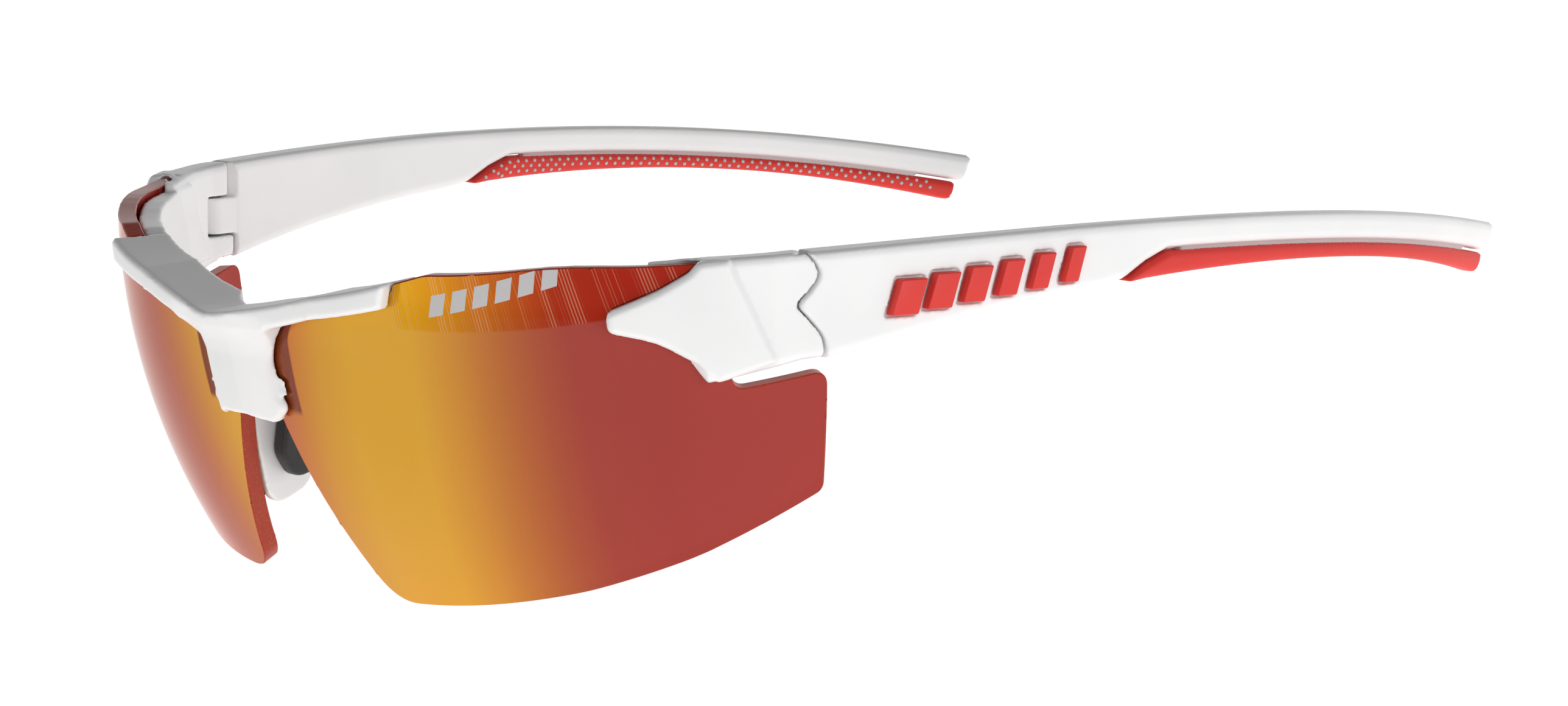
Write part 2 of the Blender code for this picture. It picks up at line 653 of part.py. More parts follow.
def nose_pad():
    pad = bent_plate(
        "nose_pad_left", rounded(PAD_CORNERS), leg_place,
        lambda u, v: -LEG_WALL / 2 - GAP - PAD_THICK, lambda u, v: -LEG_WALL / 2 - GAP, 4 * MM, BLACK,
    )
    stud = pad_stud("pad_stud", PAD_STUD_RADIUS, None)
    join(pad, stud)
    return pad


def hinge_screw():
    shank = pin_rod("hinge_screw_left", SCREW_RADIUS, SCREW_LOW + SCREW_HEAD / 2, SCREW_TOP, STEEL)
    head = pin_rod("screw_head", SCREW_HEAD_RADIUS, SCREW_LOW, SCREW_LOW + SCREW_HEAD)
    join(shank, head)
    return shank


def mirrored(piece):
    """The right-hand copy of a left-hand piece."""
    seen = piece.evaluated_get(bpy.context.evaluated_depsgraph_get())
    mesh = bpy.data.meshes.new_from_object(seen)
    mesh.transform(Matrix.Diagonal((-1, 1, 1, 1)))
    mesh.flip_normals()
    copy = bpy.data.objects.new(piece.name.replace("left", "right"), mesh)
    mesh.name = copy.name
    copy.parent = root
    parts.objects.link(copy)
    return copy


def hang_on_pivot(side, pieces):
    """The pieces that swing with a temple, under an empty on its hinge axis."""
    pivot = bpy.data.objects.new("temple_left_pivot" if side > 0 else "temple_right_pivot", None)
    pivot.parent = root
    pivot.location = (side * PIN_X, PIN_Y, 0)
    parts.objects.link(pivot)
    for piece in pieces:
        piece.parent = pivot
        piece.location = -pivot.location


def stand_on_table(pieces):
    """Lean the root until the lens bottoms and the ear tips are level, then stand it on Z = 0."""
    graph = bpy.context.evaluated_depsgraph_get()
    clouds = []
    for piece in pieces:
        mesh = piece.evaluated_get(graph).to_mesh()
        points = np.empty(len(mesh.vertices) * 3)
        mesh.vertices.foreach_get("co", points)
        clouds.append(points.reshape(-1, 3))
    cloud = np.concatenate(clouds)
    front, back = cloud[cloud[:, 1] < 0], cloud[cloud[:, 1] > CROWN_Y]
    low, high = 0.0, 40 * DEG
    for _ in range(50):
        lean = (low + high) / 2
        down = np.array([0, -math.sin(lean), math.cos(lean)])
        if (back @ down).min() > (front @ down).min():
            low = lean
        else:
            high = lean
    turned = cloud @ np.array(Matrix.Rotation(-lean, 3, "X")).T
    root.rotation_euler = (-lean, 0, 0)
    root.location = (0, -(turned[:, 1].min() + turned[:, 1].max()) / 2, -turned[:, 2].min())


frame = front_frame()
lens_left = lens("lens_left", GOLD)
temple_left = temple()
bars_left = badge_bars(temple_left)
grip_left = ear_grip()
pad_left = nose_pad()
screw_left = hinge_screw()
bpy.context.view_layer.update()
swinging_left = [temple_left, grip_left, *bars_left]
still_left = [lens_left, pad_left, screw_left]
swinging_right = [mirrored(piece) for piece in swinging_left]
still_right = [mirrored(piece) for piece in still_left]
stand_on_table([frame, *swinging_left, *still_left, *swinging_right, *still_right])
hang_on_pivot(1, swinging_left)
hang_on_pivot(-1, swinging_right)
bpy.context.view_layer.update()
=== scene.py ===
import json
import math

import bmesh
import bpy
from mathutils import Matrix, Vector


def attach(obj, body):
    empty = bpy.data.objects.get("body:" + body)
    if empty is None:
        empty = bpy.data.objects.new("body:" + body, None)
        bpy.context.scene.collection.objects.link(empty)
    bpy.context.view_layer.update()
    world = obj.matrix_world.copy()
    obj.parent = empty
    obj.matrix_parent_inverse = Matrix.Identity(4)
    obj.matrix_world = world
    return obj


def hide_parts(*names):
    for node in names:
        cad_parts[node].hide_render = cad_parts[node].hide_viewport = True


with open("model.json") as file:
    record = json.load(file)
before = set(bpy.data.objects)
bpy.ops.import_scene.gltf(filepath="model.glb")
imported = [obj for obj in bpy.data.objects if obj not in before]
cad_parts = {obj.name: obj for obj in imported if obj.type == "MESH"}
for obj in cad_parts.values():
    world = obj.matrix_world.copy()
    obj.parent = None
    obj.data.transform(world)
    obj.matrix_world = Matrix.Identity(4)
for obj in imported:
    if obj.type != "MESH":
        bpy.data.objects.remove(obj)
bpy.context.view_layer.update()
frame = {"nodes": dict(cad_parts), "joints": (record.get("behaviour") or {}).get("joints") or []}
mm = 0.001
print("stage: frame loaded,", len(frame["nodes"]), "moulded pieces")

# The glasses lie on the table leaning forward. worn turns the wearer's own axes into the table's:
# x to the wearer's left, y to the back of the head, z up, and zero height at the hinges.
hinge = {joint["name"]: joint for joint in frame["joints"]}["temple_left_fold"]
axis, pin = Vector(hinge["axis"]), Vector(hinge["pos_m"])
lean = math.atan2(axis.y, axis.z)
pinAhead = 4.7 * mm  # how far the pins are in front of the wearer's zero
worn = (
    Matrix.Translation(pin) @ Matrix.Rotation(-lean, 4, "X")
    @ Matrix.Translation((-pin.x, pinAhead, 0))
)


# node helpers: a wire is a socket that can be used in sums

class Wire:
    def __init__(self, bench, socket):
        self.bench, self.socket = bench, socket

    def __add__(self, other):
        return self.bench.maths("ADD", self, other)

    def __sub__(self, other):
        return self.bench.maths("SUBTRACT", self, other)

    def __rsub__(self, other):
        return self.bench.maths("SUBTRACT", other, self)

    def __mul__(self, other):
        return self.bench.maths("MULTIPLY", self, other)

    def __truediv__(self, other):
        return self.bench.maths("DIVIDE", self, other)

    def __rtruediv__(self, other):
        return self.bench.maths("DIVIDE", other, self)

    def __pow__(self, other):
        return self.bench.maths("POWER", self, other)

    def __gt__(self, other):
        return self.bench.maths("GREATER_THAN", self, other)

    def __lt__(self, other):
        return self.bench.maths("LESS_THAN", self, other)

    __radd__ = __add__
    __rmul__ = __mul__


class Bench:
    def __init__(self, tree):
        self.tree = tree

    def node(self, kind, settings, inputs, output=0):
        made = self.tree.nodes.new(kind)
        for name, value in settings.items():
            if name == "stops":
                self.setStops(made.color_ramp, value)
            else:
                setattr(made, name, value)
        for name, value in inputs.items():
            if isinstance(value, Wire):
                self.tree.links.new(value.socket, made.inputs[name])
            else:
                made.inputs[name].default_value = value
        return Wire(self, made.outputs[output])

    def parts(self, vector):
        split = self.node("ShaderNodeSeparateXYZ", {}, {0: vector})
        return [Wire(self, socket) for socket in split.socket.node.outputs]

    def setStops(self, ramp, stops):
        while len(ramp.elements) < len(stops):
            ramp.elements.new(1.0)
        for element, (place, colour) in zip(ramp.elements, stops):
            element.position = place
            element.color = (*colour, 1)

    def maths(self, operation, *values):
        return self.node("ShaderNodeMath", {"operation": operation}, dict(enumerate(values)))

    def vectors(self, operation, *values):
        return self.node("ShaderNodeVectorMath", {"operation": operation}, dict(enumerate(values)))

    def mixed(self, amount, first, second):
        return self.node("ShaderNodeMix", {"data_type": "RGBA"}, {0: amount, 6: first, 7: second}, 2)

    def step(self, value, low, high):
        return self.node(
            "ShaderNodeMapRange", {"interpolation_type": "SMOOTHSTEP"},
            {"Value": value, "From Min": low, "From Max": high},
        )

    def noise(self, place, size, detail=2.0, roughness=0.5):
        return self.node(
            "ShaderNodeTexNoise", {},
            {"Vector": place, "Scale": 1 / size, "Detail": detail, "Roughness": roughness},
        )


def startFinish(name, constants):
    finish = bpy.data.materials.new(name)
    finish.use_nodes = True
    shader = finish.node_tree.nodes["Principled BSDF"]
    for socket, value in constants.items():
        shader.inputs[socket].default_value = value
    bench = Bench(finish.node_tree)
    place = bench.node("ShaderNodeTexCoord", {}, {}, "Object")
    return finish, bench, shader, place


def connect(bench, shader, links):
    for name, wire in links.items():
        bench.tree.links.new(wire.socket, shader.inputs[name])


# finishes

nylon = dict(
    white=(0.84, 0.84, 0.838, 1), shade=(0.77, 0.77, 0.77, 1), shadeShare=0.35,
    grain=0.16 * mm, blotch=9 * mm, roughness=0.33, relief=0.006 * mm, bump=0.35,
)


def satinNylon():
    finish, bench, shader, place = startFinish("satinNylon", {"Coat Weight": 0.0})
    grain = bench.noise(place, nylon["grain"], 3.0)
    blotch = bench.noise(place, nylon["blotch"], 2.0)
    colour = bench.mixed(
        bench.step(blotch, 0.35, 0.75) * nylon["shadeShare"], nylon["white"], nylon["shade"]
    )
    bump = bench.node(
        "ShaderNodeBump", {},
        {"Strength": nylon["bump"], "Distance": nylon["relief"], "Height": grain},
    )
    connect(bench, shader, {
        "Base Color": colour,
        "Roughness": nylon["roughness"] + blotch * 0.05 + grain * 0.04,
        "Normal": bump,
    })
    return finish


rubber = dict(
    red=(0.72, 0.036, 0.026, 1), deep=(0.58, 0.024, 0.018, 1),
    grain=0.22 * mm, blotch=6 * mm, bump=0.5,
    roughness=0.48, relief=0.015 * mm, hardRoughness=0.34, hardRelief=0.006 * mm,  # rubber, plastic
)


def redRubber(name, roughness, relief):
    finish, bench, shader, place = startFinish(name, {"Specular IOR Level": 0.4})
    grain = bench.noise(place, rubber["grain"], 4.0, 0.6)
    blotch = bench.noise(place, rubber["blotch"])
    bump = bench.node(
        "ShaderNodeBump", {}, {"Strength": rubber["bump"], "Distance": relief, "Height": grain}
    )
    connect(bench, shader, {
        "Base Color": bench.mixed(blotch * 0.5 + grain * 0.25, rubber["red"], rubber["deep"]),
        "Roughness": roughness + grain * 0.12,
        "Normal": bump,
    })
    return finish


padRubber = dict(
    black=(0.010, 0.010, 0.010, 1), bloomed=(0.018, 0.018, 0.018, 1),
    grain=0.25 * mm, bloom=4 * mm, roughness=0.42, relief=0.02 * mm, bump=0.6,
)


def blackRubber():
    finish, bench, shader, place = startFinish("blackRubber", {"Specular IOR Level": 0.45})
    grain = bench.noise(place, padRubber["grain"], 4.0, 0.6)
    bloom = bench.step(bench.noise(place, padRubber["bloom"]), 0.4, 0.8)
    bump = bench.node(
        "ShaderNodeBump", {},
        {"Strength": padRubber["bump"], "Distance": padRubber["relief"], "Height": grain},
    )
    connect(bench, shader, {
        "Base Color": bench.mixed(bloom, padRubber["black"], padRubber["bloomed"]),
        "Roughness": padRubber["roughness"] + bloom * 0.12 + grain * 0.1,
        "Normal": bump,
    })
    return finish


steelLook = dict(
    bright=(0.62, 0.62, 0.63, 1), dull=(0.48, 0.48, 0.50, 1),
    rings=0.3 * mm, finer=8, roughness=0.22, relief=0.01 * mm, bump=0.3,
)


def turnedSteel():
    finish, bench, shader, place = startFinish("turnedSteel", {"Metallic": 1.0})
    stretched = bench.node(
        "ShaderNodeMapping", {}, {"Vector": place, "Scale": (1, 1, steelLook["finer"])}
    )
    rings = bench.noise(stretched, steelLook["rings"], 3.0)
    bump = bench.node(
        "ShaderNodeBump", {},
        {"Strength": steelLook["bump"], "Distance": steelLook["relief"], "Height": rings},
    )
    connect(bench, shader, {
        "Base Color": bench.mixed(rings, steelLook["bright"], steelLook["dull"]),
        "Roughness": steelLook["roughness"] + rings * 0.2,
        "Normal": bump,
    })
    return finish


dotLook = dict(worn=(0.40, 0.38, 0.36, 1), fresh=(0.58, 0.56, 0.54, 1), wear=1.5 * mm, roughness=0.4)


def gripDotFinish():
    finish, bench, shader, place = startFinish("gripDotGrey", {"Specular IOR Level": 0.4})
    wear = bench.noise(place, dotLook["wear"])
    connect(bench, shader, {
        "Base Color": bench.mixed(wear, dotLook["worn"], dotLook["fresh"]),
        "Roughness": dotLook["roughness"] + wear * 0.15,
    })
    return finish


# Mirror coat: gold at the nose, turning to red round the side. Millimetres round the lens, colour
coat = dict(
    stops=(
        (-8, (0.46, 0.080, 0.020)), (-3, (0.56, 0.18, 0.022)), (3, (0.64, 0.30, 0.026)),
        (9, (0.68, 0.355, 0.028)), (20, (0.67, 0.345, 0.030)), (26, (0.59, 0.25, 0.032)),
        (30, (0.51, 0.175, 0.032)), (34, (0.44, 0.118, 0.032)), (38, (0.385, 0.076, 0.034)),
        (42, (0.350, 0.050, 0.036)), (50, (0.345, 0.043, 0.036)), (72, (0.37, 0.044, 0.038)),
    ),
    # painted reflection: the right lens runs through the colours faster and from further round, for the
    # redder reflection its coat gives when seen at a slant
    turn=dict(left=(1.0, 0.0), right=(1.3, 26.0)),  # how fast and from where each lens runs through them
    slant=0.18, middle=12.0,  # the change of colour leans back towards the top of the lens
    cover=0.93,  # how much the coat hides what is behind
    cut=(0.36, 0.035, 0.018, 1), sparkle=(0.45, 0.16, 0.02, 1), sparkleShare=0.3,  # sawn edge
    # painted shadow of the bridge and its shaded groove, on the lens: edge round the lens, lowest and
    # highest place, round corner, fade
    bridgeShadow=(0.17, 0.022, 0.005, 1), bridgeShadowTo=-0.9, bridgeShadowLow=17.6, bridgeShadowHigh=28.4,
    cornerRound=2.5, cornerCurve=0.22, bridgeShadowFade=(-8.0, -0.5), bridgeShadowLeast=0.25,
    # painted shade of the rail behind the lens: its lower line, how that falls past a bend, and its fine
    # upright ribs
    rail=28.0, railBend=22.0, railFall=0.16, railFrom=21.0,
    railShade=(0.02, 0.036, 0.036),  # painted shade: how much the shaded rail behind darkens the coat's colour
    ribs=0.42, ribColour=(0.75, 0.45, 0.30, 1), ribShare=0.30, ribGroups=2.5 * mm,
    # a row of slanted silver bars: how many on each lens, first, pitch, width, height of its middle
    silver=(0.50, 0.50, 0.50, 1), marks=dict(left=6, right=0), first=27.0, pitch=3.3, width=2.2,
    level=30.1, half=1.15, markSlant=0.5,
    metal=0.35, roughness=0.10, haze=14 * mm,
)


def mirrorCoat(side):
    finish, bench, shader, place = startFinish(side + "MirrorCoat", {
        "Specular IOR Level": 0.28, "Specular Tint": (1.0, 0.5, 0.3, 1),
        "Coat Weight": 0.1, "Coat Roughness": 0.03,
    })
    speed, shift = coat["turn"][side]
    own = bench.node("ShaderNodeAttribute", {"attribute_name": "lensPlace"}, {}, "Vector")
    u, v, w = bench.parts(own)
    around, height = u * (1 / mm), v * (1 / mm)
    slanted = around * speed + shift - (height - coat["middle"]) * coat["slant"]
    low, high = coat["stops"][0][0], coat["stops"][-1][0]
    stops = [((at - low) / (high - low), colour) for at, colour in coat["stops"]]
    ramp = bench.node("ShaderNodeValToRGB", {"stops": stops}, {0: (slanted - low) * (1 / (high - low))})
    # painted shade: the lens is darker where the shaded rail stands behind it, with its ribs
    fall = (around - coat["railBend"]) * coat["railFall"] * (around > coat["railBend"])
    band = bench.step(height - (coat["rail"] - fall), -0.1, 0.25) * (around > coat["railFrom"])
    line = bench.node("ShaderNodeCombineXYZ", {}, {0: around * mm})
    groups = bench.step(bench.noise(line, coat["ribGroups"]), 0.35, 0.6)
    rib = bench.maths("SINE", around * (2 * math.pi / coat["ribs"])) * 0.5 + 0.5
    ribbed = bench.step(rib * groups, 0.45, 0.95) * band
    railShaded = bench.vectors("MAXIMUM", bench.vectors("SUBTRACT", ramp, coat["railShade"]), (0, 0, 0))
    seen = bench.mixed(band, ramp, railShaded)
    seen = bench.mixed(ribbed * coat["ribShare"], seen, coat["ribColour"])
    # painted shadow: the lens is darker where the bridge shades it and the shaded groove shows through
    cornerLow = coat["bridgeShadowHigh"] - coat["cornerRound"]
    corner = (height - cornerLow) ** 2 * (height > cornerLow) * coat["cornerCurve"]
    shadowMask = bench.step(around - coat["bridgeShadowTo"] - corner, 0.25, -0.25)
    shadowMask = shadowMask * bench.step(height, coat["bridgeShadowLow"] - 0.5, coat["bridgeShadowLow"] + 0.5)
    fade = bench.step(around, *coat["bridgeShadowFade"])
    shadowMask = shadowMask * fade * (1 - coat["bridgeShadowLeast"]) + shadowMask * coat["bridgeShadowLeast"]
    shadowed = bench.mixed(shadowMask, seen, coat["bridgeShadow"])
    # silver bars, on the front face only
    along = (around - coat["first"] - (height - coat["level"]) * coat["markSlant"]) / coat["pitch"]
    within = (along > 0) * (along < coat["marks"][side])
    bar = bench.maths("FRACT", along) < coat["width"] / coat["pitch"]
    tall = bench.maths("ABSOLUTE", height - coat["level"]) < coat["half"]
    mark = within * bar * tall * (w > -0.05)
    marked = bench.mixed(mark, shadowed, coat["silver"])
    rim = bench.node("ShaderNodeAttribute", {"attribute_name": "rim"}, {}, "Fac")
    speckle = bench.step(bench.noise(place, 0.3 * mm, 1.0), 0.55, 0.7)
    sawn = bench.mixed(speckle * coat["sparkleShare"], coat["cut"], coat["sparkle"])
    haze = bench.noise(place, coat["haze"])
    clear = 1 - coat["cover"]
    connect(bench, shader, {
        "Base Color": bench.mixed(rim, marked, sawn),
        "Metallic": (1 - mark) * (1 - rim) * coat["metal"],
        "Roughness": coat["roughness"] + haze * 0.05 + mark * 0.25 + rim * 0.3,
        "Alpha": coat["cover"] + mark * clear + rim * (0.5 * clear),
    })
    return finish


white = satinNylon()
red = redRubber("redRubber", rubber["roughness"], rubber["relief"])
redHard = redRubber("redPlastic", rubber["hardRoughness"], rubber["hardRelief"])
black = blackRubber()
steel = turnedSteel()
dotGrey = gripDotFinish()
mirror = {side: mirrorCoat(side) for side in ("left", "right")}
print("stage: finishes made")


# making pieces

def asObject(name, mesh):
    piece = bpy.data.objects.new(name, mesh)
    bpy.context.scene.collection.objects.link(piece)
    return piece


def settled(piece, name):
    # the piece's modifiers become plain mesh, and the piece itself goes
    graph = bpy.context.evaluated_depsgraph_get()
    mesh = bpy.data.meshes.new_from_object(piece.evaluated_get(graph), depsgraph=graph)
    mesh.name = name
    bpy.data.objects.remove(piece)
    return asObject(name, mesh)


def mouldedCopy(node, name):
    mesh = frame["nodes"][node].data.copy()
    mesh.materials.clear()
    bm = bmesh.new()
    bm.from_mesh(mesh)
    bmesh.ops.remove_doubles(bm, verts=bm.verts[:], dist=0.005 * mm)
    bm.to_mesh(mesh)
    bm.free()
    return asObject(name, mesh)


def softened(node, name, finish, cell, passes):
    # a moulded copy with every edge rounded a little, as a mould leaves it
    piece = mouldedCopy(node, name + "Raw")
    skin = piece.modifiers.new("skin", "REMESH")
    skin.mode = "VOXEL"
    skin.voxel_size = cell
    skin.adaptivity = 0.0
    ease = piece.modifiers.new("ease", "SMOOTH")
    ease.factor = 0.5
    ease.iterations = passes
    piece = settled(piece, name)
    piece.data.materials.clear()
    piece.data.materials.append(finish)
    piece.data.shade_smooth()
    return piece


def handOver(piece, body, node):
    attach(piece, body)
    if node:
        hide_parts(node)


moulding = dict(
    frontCell=0.27 * mm, frontPasses=2, templeCell=0.24 * mm, templePasses=2,
    gripCell=0.24 * mm, gripPasses=4, padCell=0.20 * mm, padPasses=24,
)

handOver(
    softened("front_frame", "frontFrame", white, moulding["frontCell"], moulding["frontPasses"]),
    "front", "front_frame",
)
print("stage: front frame softened")

for side in ("left", "right"):
    body = side + "_temple"
    temple = softened(
        "temple_" + side, side + "Temple", white, moulding["templeCell"], moulding["templePasses"]
    )
    handOver(temple, body, "temple_" + side)
    grip = softened(
        "ear_grip_" + side, side + "EarGrip", red, moulding["gripCell"], moulding["gripPasses"]
    )
    handOver(grip, body, "ear_grip_" + side)
    pad = softened(
        "nose_pad_" + side, side + "NosePad", black, moulding["padCell"], moulding["padPasses"]
    )
    handOver(pad, "front", "nose_pad_" + side)
print("stage: temples, ear grips and nose pads softened")


# badge: six slanted bars on each temple

badge = dict(bevel=0.22 * mm, segments=3, count=6)


def badgeBar(node, name):
    piece = mouldedCopy(node, name + "Raw")
    flat = piece.modifiers.new("flat", "DECIMATE")
    flat.decimate_type = "DISSOLVE"
    flat.angle_limit = math.radians(4)
    edge = piece.modifiers.new("edge", "BEVEL")
    edge.width = badge["bevel"]
    edge.segments = badge["segments"]
    edge.limit_method = "ANGLE"
    edge.angle_limit = math.radians(40)
    piece = settled(piece, name)
    piece.data.materials.clear()
    piece.data.materials.append(redHard)
    piece.data.shade_smooth()
    piece.data.set_sharp_from_angle(angle=math.radians(50))
    return piece


for side in ("left", "right"):
    for k in range(badge["count"]):
        node = "badge_bar_%s_%d" % (side, k + 1)
        handOver(badgeBar(node, "%sBadgeBar%d" % (side, k + 1)), side + "_temple", node)
print("stage: badge bars finished")


# geometry node helpers

def startTree(name, inputs):
    # inputs: name, socket type
    tree = bpy.data.node_groups.new(name, "GeometryNodeTree")
    for label, kind in inputs:
        tree.interface.new_socket(label, in_out="INPUT", socket_type=kind)
    tree.interface.new_socket("Geometry", in_out="OUTPUT", socket_type="NodeSocketGeometry")
    bench = Bench(tree)
    start = tree.nodes.new("NodeGroupInput")
    given = {label: Wire(bench, start.outputs[label]) for label, kind in inputs}
    return tree, bench, given


def endTree(bench, geometry, material):
    whole = bench.node("GeometryNodeRealizeInstances", {}, {"Geometry": geometry})
    dressed = bench.node("GeometryNodeSetMaterial", {}, {"Geometry": whole, "Material": material})
    end = bench.tree.nodes.new("NodeGroupOutput")
    bench.tree.links.new(dressed.socket, end.inputs["Geometry"])


def grow(piece, tree, name, values):
    step = piece.modifiers.new(tree.name, "NODES")
    step.node_group = tree
    for item in tree.interface.items_tree:
        if item.in_out == "INPUT" and item.name in values:
            step[item.identifier] = values[item.name]
    return settled(piece, name)


# lenses: a flat cut plate, bent on to the leaning egg of the wraparound

lens = dict(
    radius=59.8 * mm, halfHeight=72.2 * mm, lean=math.radians(27.85), thickness=2.3 * mm,
    turnStep=math.radians(9),
    centre=(11.34 * mm, 22.45 * mm, -5.48 * mm), grid=1.0 * mm, edge=0.16 * mm,
    corners=(
        (-7.1, 28.2, 1.5), (8.0, 30.6, 30.0), (21.0, 31.8, 0.5), (21.7, 33.2, 0.8), (27.0, 33.6, 8.0),
        (46.1, 31.0, 60.0), (63.8, 25.4, 1.2), (60.6, 10.7, 1.5), (71.6, 8.1, 1.6), (65.4, -5.3, 1.8),
        (48.7, -7.4, 60.0), (34.1, -8.1, 60.0), (3.4, -8.1, 6.0), (-4.6, 11.0, 30.0), (-7.1, 17.0, 8.0),
    ),
)


def roundedOutline(corners, turnStep):
    points = [Vector((u, v)) * mm for u, v, radius in corners]
    outline = []
    for k, here in enumerate(points):
        before, after = points[k - 1], points[(k + 1) % len(points)]
        radius = corners[k][2] * mm
        into, out = here - before, after - here
        turn = abs(into.angle_signed(out, 0.0))
        tangent = min(radius * math.tan(turn / 2), into.length * 0.49, out.length * 0.49)
        start, end = here - into.normalized() * tangent, here + out.normalized() * tangent
        count = max(3, math.ceil(turn / turnStep))
        for step in range(count + 1):
            t = step / count
            outline.append(start * (1 - t) ** 2 + here * 2 * t * (1 - t) + end * t * t)
    return outline


def outward(vert):
    total = Vector((0, 0))
    for edge in vert.link_edges:
        if edge.is_boundary:
            run = (edge.verts[1].co - edge.verts[0].co).xy.normalized()
            normal = Vector((-run.y, run.x))
            inside = edge.link_faces[0].calc_center_median().xy - edge.verts[0].co.xy
            total += normal if normal.dot(inside) < 0 else -normal
    return total.normalized() if total.length > 0 else total


def lensPlate(name):
    # flat: u round the lens, v up it, and w from 0 at the face to -1 at the back
    outline = roundedOutline(lens["corners"], lens["turnStep"])
    area = sum(outline[k - 1].cross(outline[k]) for k in range(len(outline)))
    flat = bmesh.new()
    flat.faces.new([flat.verts.new((*at, 0)) for at in (outline if area > 0 else outline[::-1])])
    for side in (0, 1):
        low, high = min(p[side] for p in outline), max(p[side] for p in outline)
        normal = Vector((1, 0, 0)) if side == 0 else Vector((0, 1, 0))
        count = math.ceil((high - low) / lens["grid"])
        for k in range(1, count):
            bmesh.ops.bisect_plane(
                flat, geom=flat.verts[:] + flat.edges[:] + flat.faces[:], dist=1e-6,
                plane_co=normal * (low + (high - low) * k / count), plane_no=normal,
            )
    flat.verts.index_update()
    plate = bmesh.new()
    rimLayer = plate.faces.layers.float.new("rim")
    chamfer = lens["edge"] / lens["thickness"]
    inner = [v.co.xy - outward(v) * lens["edge"] for v in flat.verts]
    front = [plate.verts.new((*at, 0)) for at in inner]
    back = [plate.verts.new((*at, -1)) for at in inner]
    rim = [v for v in flat.verts if v.is_boundary]
    rows = [
        {v.index: front[v.index] for v in rim},
        {v.index: plate.verts.new((*v.co.xy, -chamfer)) for v in rim},
        {v.index: plate.verts.new((*v.co.xy, chamfer - 1)) for v in rim},
        {v.index: back[v.index] for v in rim},
    ]
    for face in flat.faces:
        ring = [v.index for v in face.verts]
        plate.faces.new([front[k] for k in ring])
        plate.faces.new([back[k] for k in reversed(ring)])
    for edge in flat.edges:
        if edge.is_boundary:
            a, b = (v.index for v in edge.verts)
            for one, two in zip(rows, rows[1:]):
                plate.faces.new([one[a], one[b], two[b], two[a]])[rimLayer] = 1.0
    bmesh.ops.recalc_face_normals(plate, faces=plate.faces[:])
    mesh = bpy.data.meshes.new(name)
    plate.to_mesh(mesh)
    plate.free()
    flat.free()
    return asObject(name, mesh)


def lensTree():
    tree, bench, given = startTree("lensBend", (
        ("Geometry", "NodeSocketGeometry"), ("Face radius", "NodeSocketFloat"),
        ("Half height", "NodeSocketFloat"), ("Lean", "NodeSocketFloat"),
        ("Thickness", "NodeSocketFloat"), ("Centre", "NodeSocketVector"),
        ("Side", "NodeSocketFloat"), ("Finish", "NodeSocketMaterial"),
    ))
    radius, half = given["Face radius"], given["Half height"]
    place = bench.node("GeometryNodeInputPosition", {}, {})
    u, v, w = bench.parts(place)
    angle = u / radius
    ring = radius * bench.maths("SQRT", 1 - (v / half) ** 2)
    across, ahead = ring * bench.maths("SINE", angle), ring * bench.maths("COSINE", angle) * -1
    point = bench.node("ShaderNodeCombineXYZ", {}, {0: across, 1: ahead, 2: v})
    slope = bench.node("ShaderNodeCombineXYZ", {}, {
        0: across / (radius * radius), 1: ahead / (radius * radius), 2: v / (half * half),
    })
    inward = w * given["Thickness"]
    depth = bench.node("ShaderNodeCombineXYZ", {}, {0: inward, 1: inward, 2: inward})
    skin = bench.vectors("ADD", point, bench.vectors("MULTIPLY", bench.vectors("NORMALIZE", slope), depth))
    turned = bench.node(
        "ShaderNodeVectorRotate", {"rotation_type": "X_AXIS"}, {"Vector": skin, "Angle": given["Lean"]}
    )
    centred = bench.vectors("ADD", turned, given["Centre"])
    sided = bench.node("ShaderNodeCombineXYZ", {}, {0: given["Side"], 1: 1.0, 2: 1.0})
    kept = bench.node(
        "GeometryNodeStoreNamedAttribute", {"data_type": "FLOAT_VECTOR", "domain": "POINT"},
        {"Geometry": given["Geometry"], "Name": "lensPlace", "Value": place},
    )
    bent = bench.node(
        "GeometryNodeSetPosition", {},
        {"Geometry": kept, "Position": bench.vectors("MULTIPLY", centred, sided)},
    )
    faced = bench.node("GeometryNodeFlipFaces", {}, {"Mesh": bent, "Selection": given["Side"] < 0})
    endTree(bench, faced, given["Finish"])
    return tree


bend = lensTree()
for side, sign in (("left", 1.0), ("right", -1.0)):
    piece = grow(lensPlate(side + "LensPlate"), bend, side + "Lens", {
        "Face radius": lens["radius"], "Half height": lens["halfHeight"], "Lean": lens["lean"],
        "Thickness": lens["thickness"], "Centre": lens["centre"], "Side": sign,
        "Finish": mirror[side],
    })
    piece.data.transform(worn)
    piece.data.shade_smooth()
    piece.data.set_sharp_from_angle(angle=math.radians(30))
    handOver(piece, "front", "lens_" + side)
print("stage: lenses bent")


# small dots on the inner faces of the ear grips

dots = dict(
    radius=0.27 * mm, height=0.14 * mm, pitch=1.36 * mm, rows=0.68 * mm,
    start=41.0 * mm, end=112.5 * mm, inset=0.55 * mm, foot=0.5 * mm,
    sides=8, rings=5, inside=40 * mm, reach=50 * mm,
)

# the temple's edges from the side, in millimetres behind and above the hinge
arm = dict(
    tip=115.4, top=6.5, topAt=36.0, rootDrop=1.0, rootBend=1.6, tipDrop=6.5, tipBend=2.35,
    under=0.1, underAt=60.0, underRootDrop=7.0, underTipDrop=6.4,
    band=3.5, gap=0.3, gripStart=38.0, shoulder=47.5, slantFrom=85.0, slant=0.45,
)


def topEdge(y):
    if y < arm["topAt"]:
        return arm["top"] - arm["rootDrop"] * ((arm["topAt"] - y) / arm["topAt"]) ** arm["rootBend"]
    back = (y - arm["topAt"]) / (arm["tip"] - arm["topAt"])
    return arm["top"] - arm["tipDrop"] * back ** arm["tipBend"]


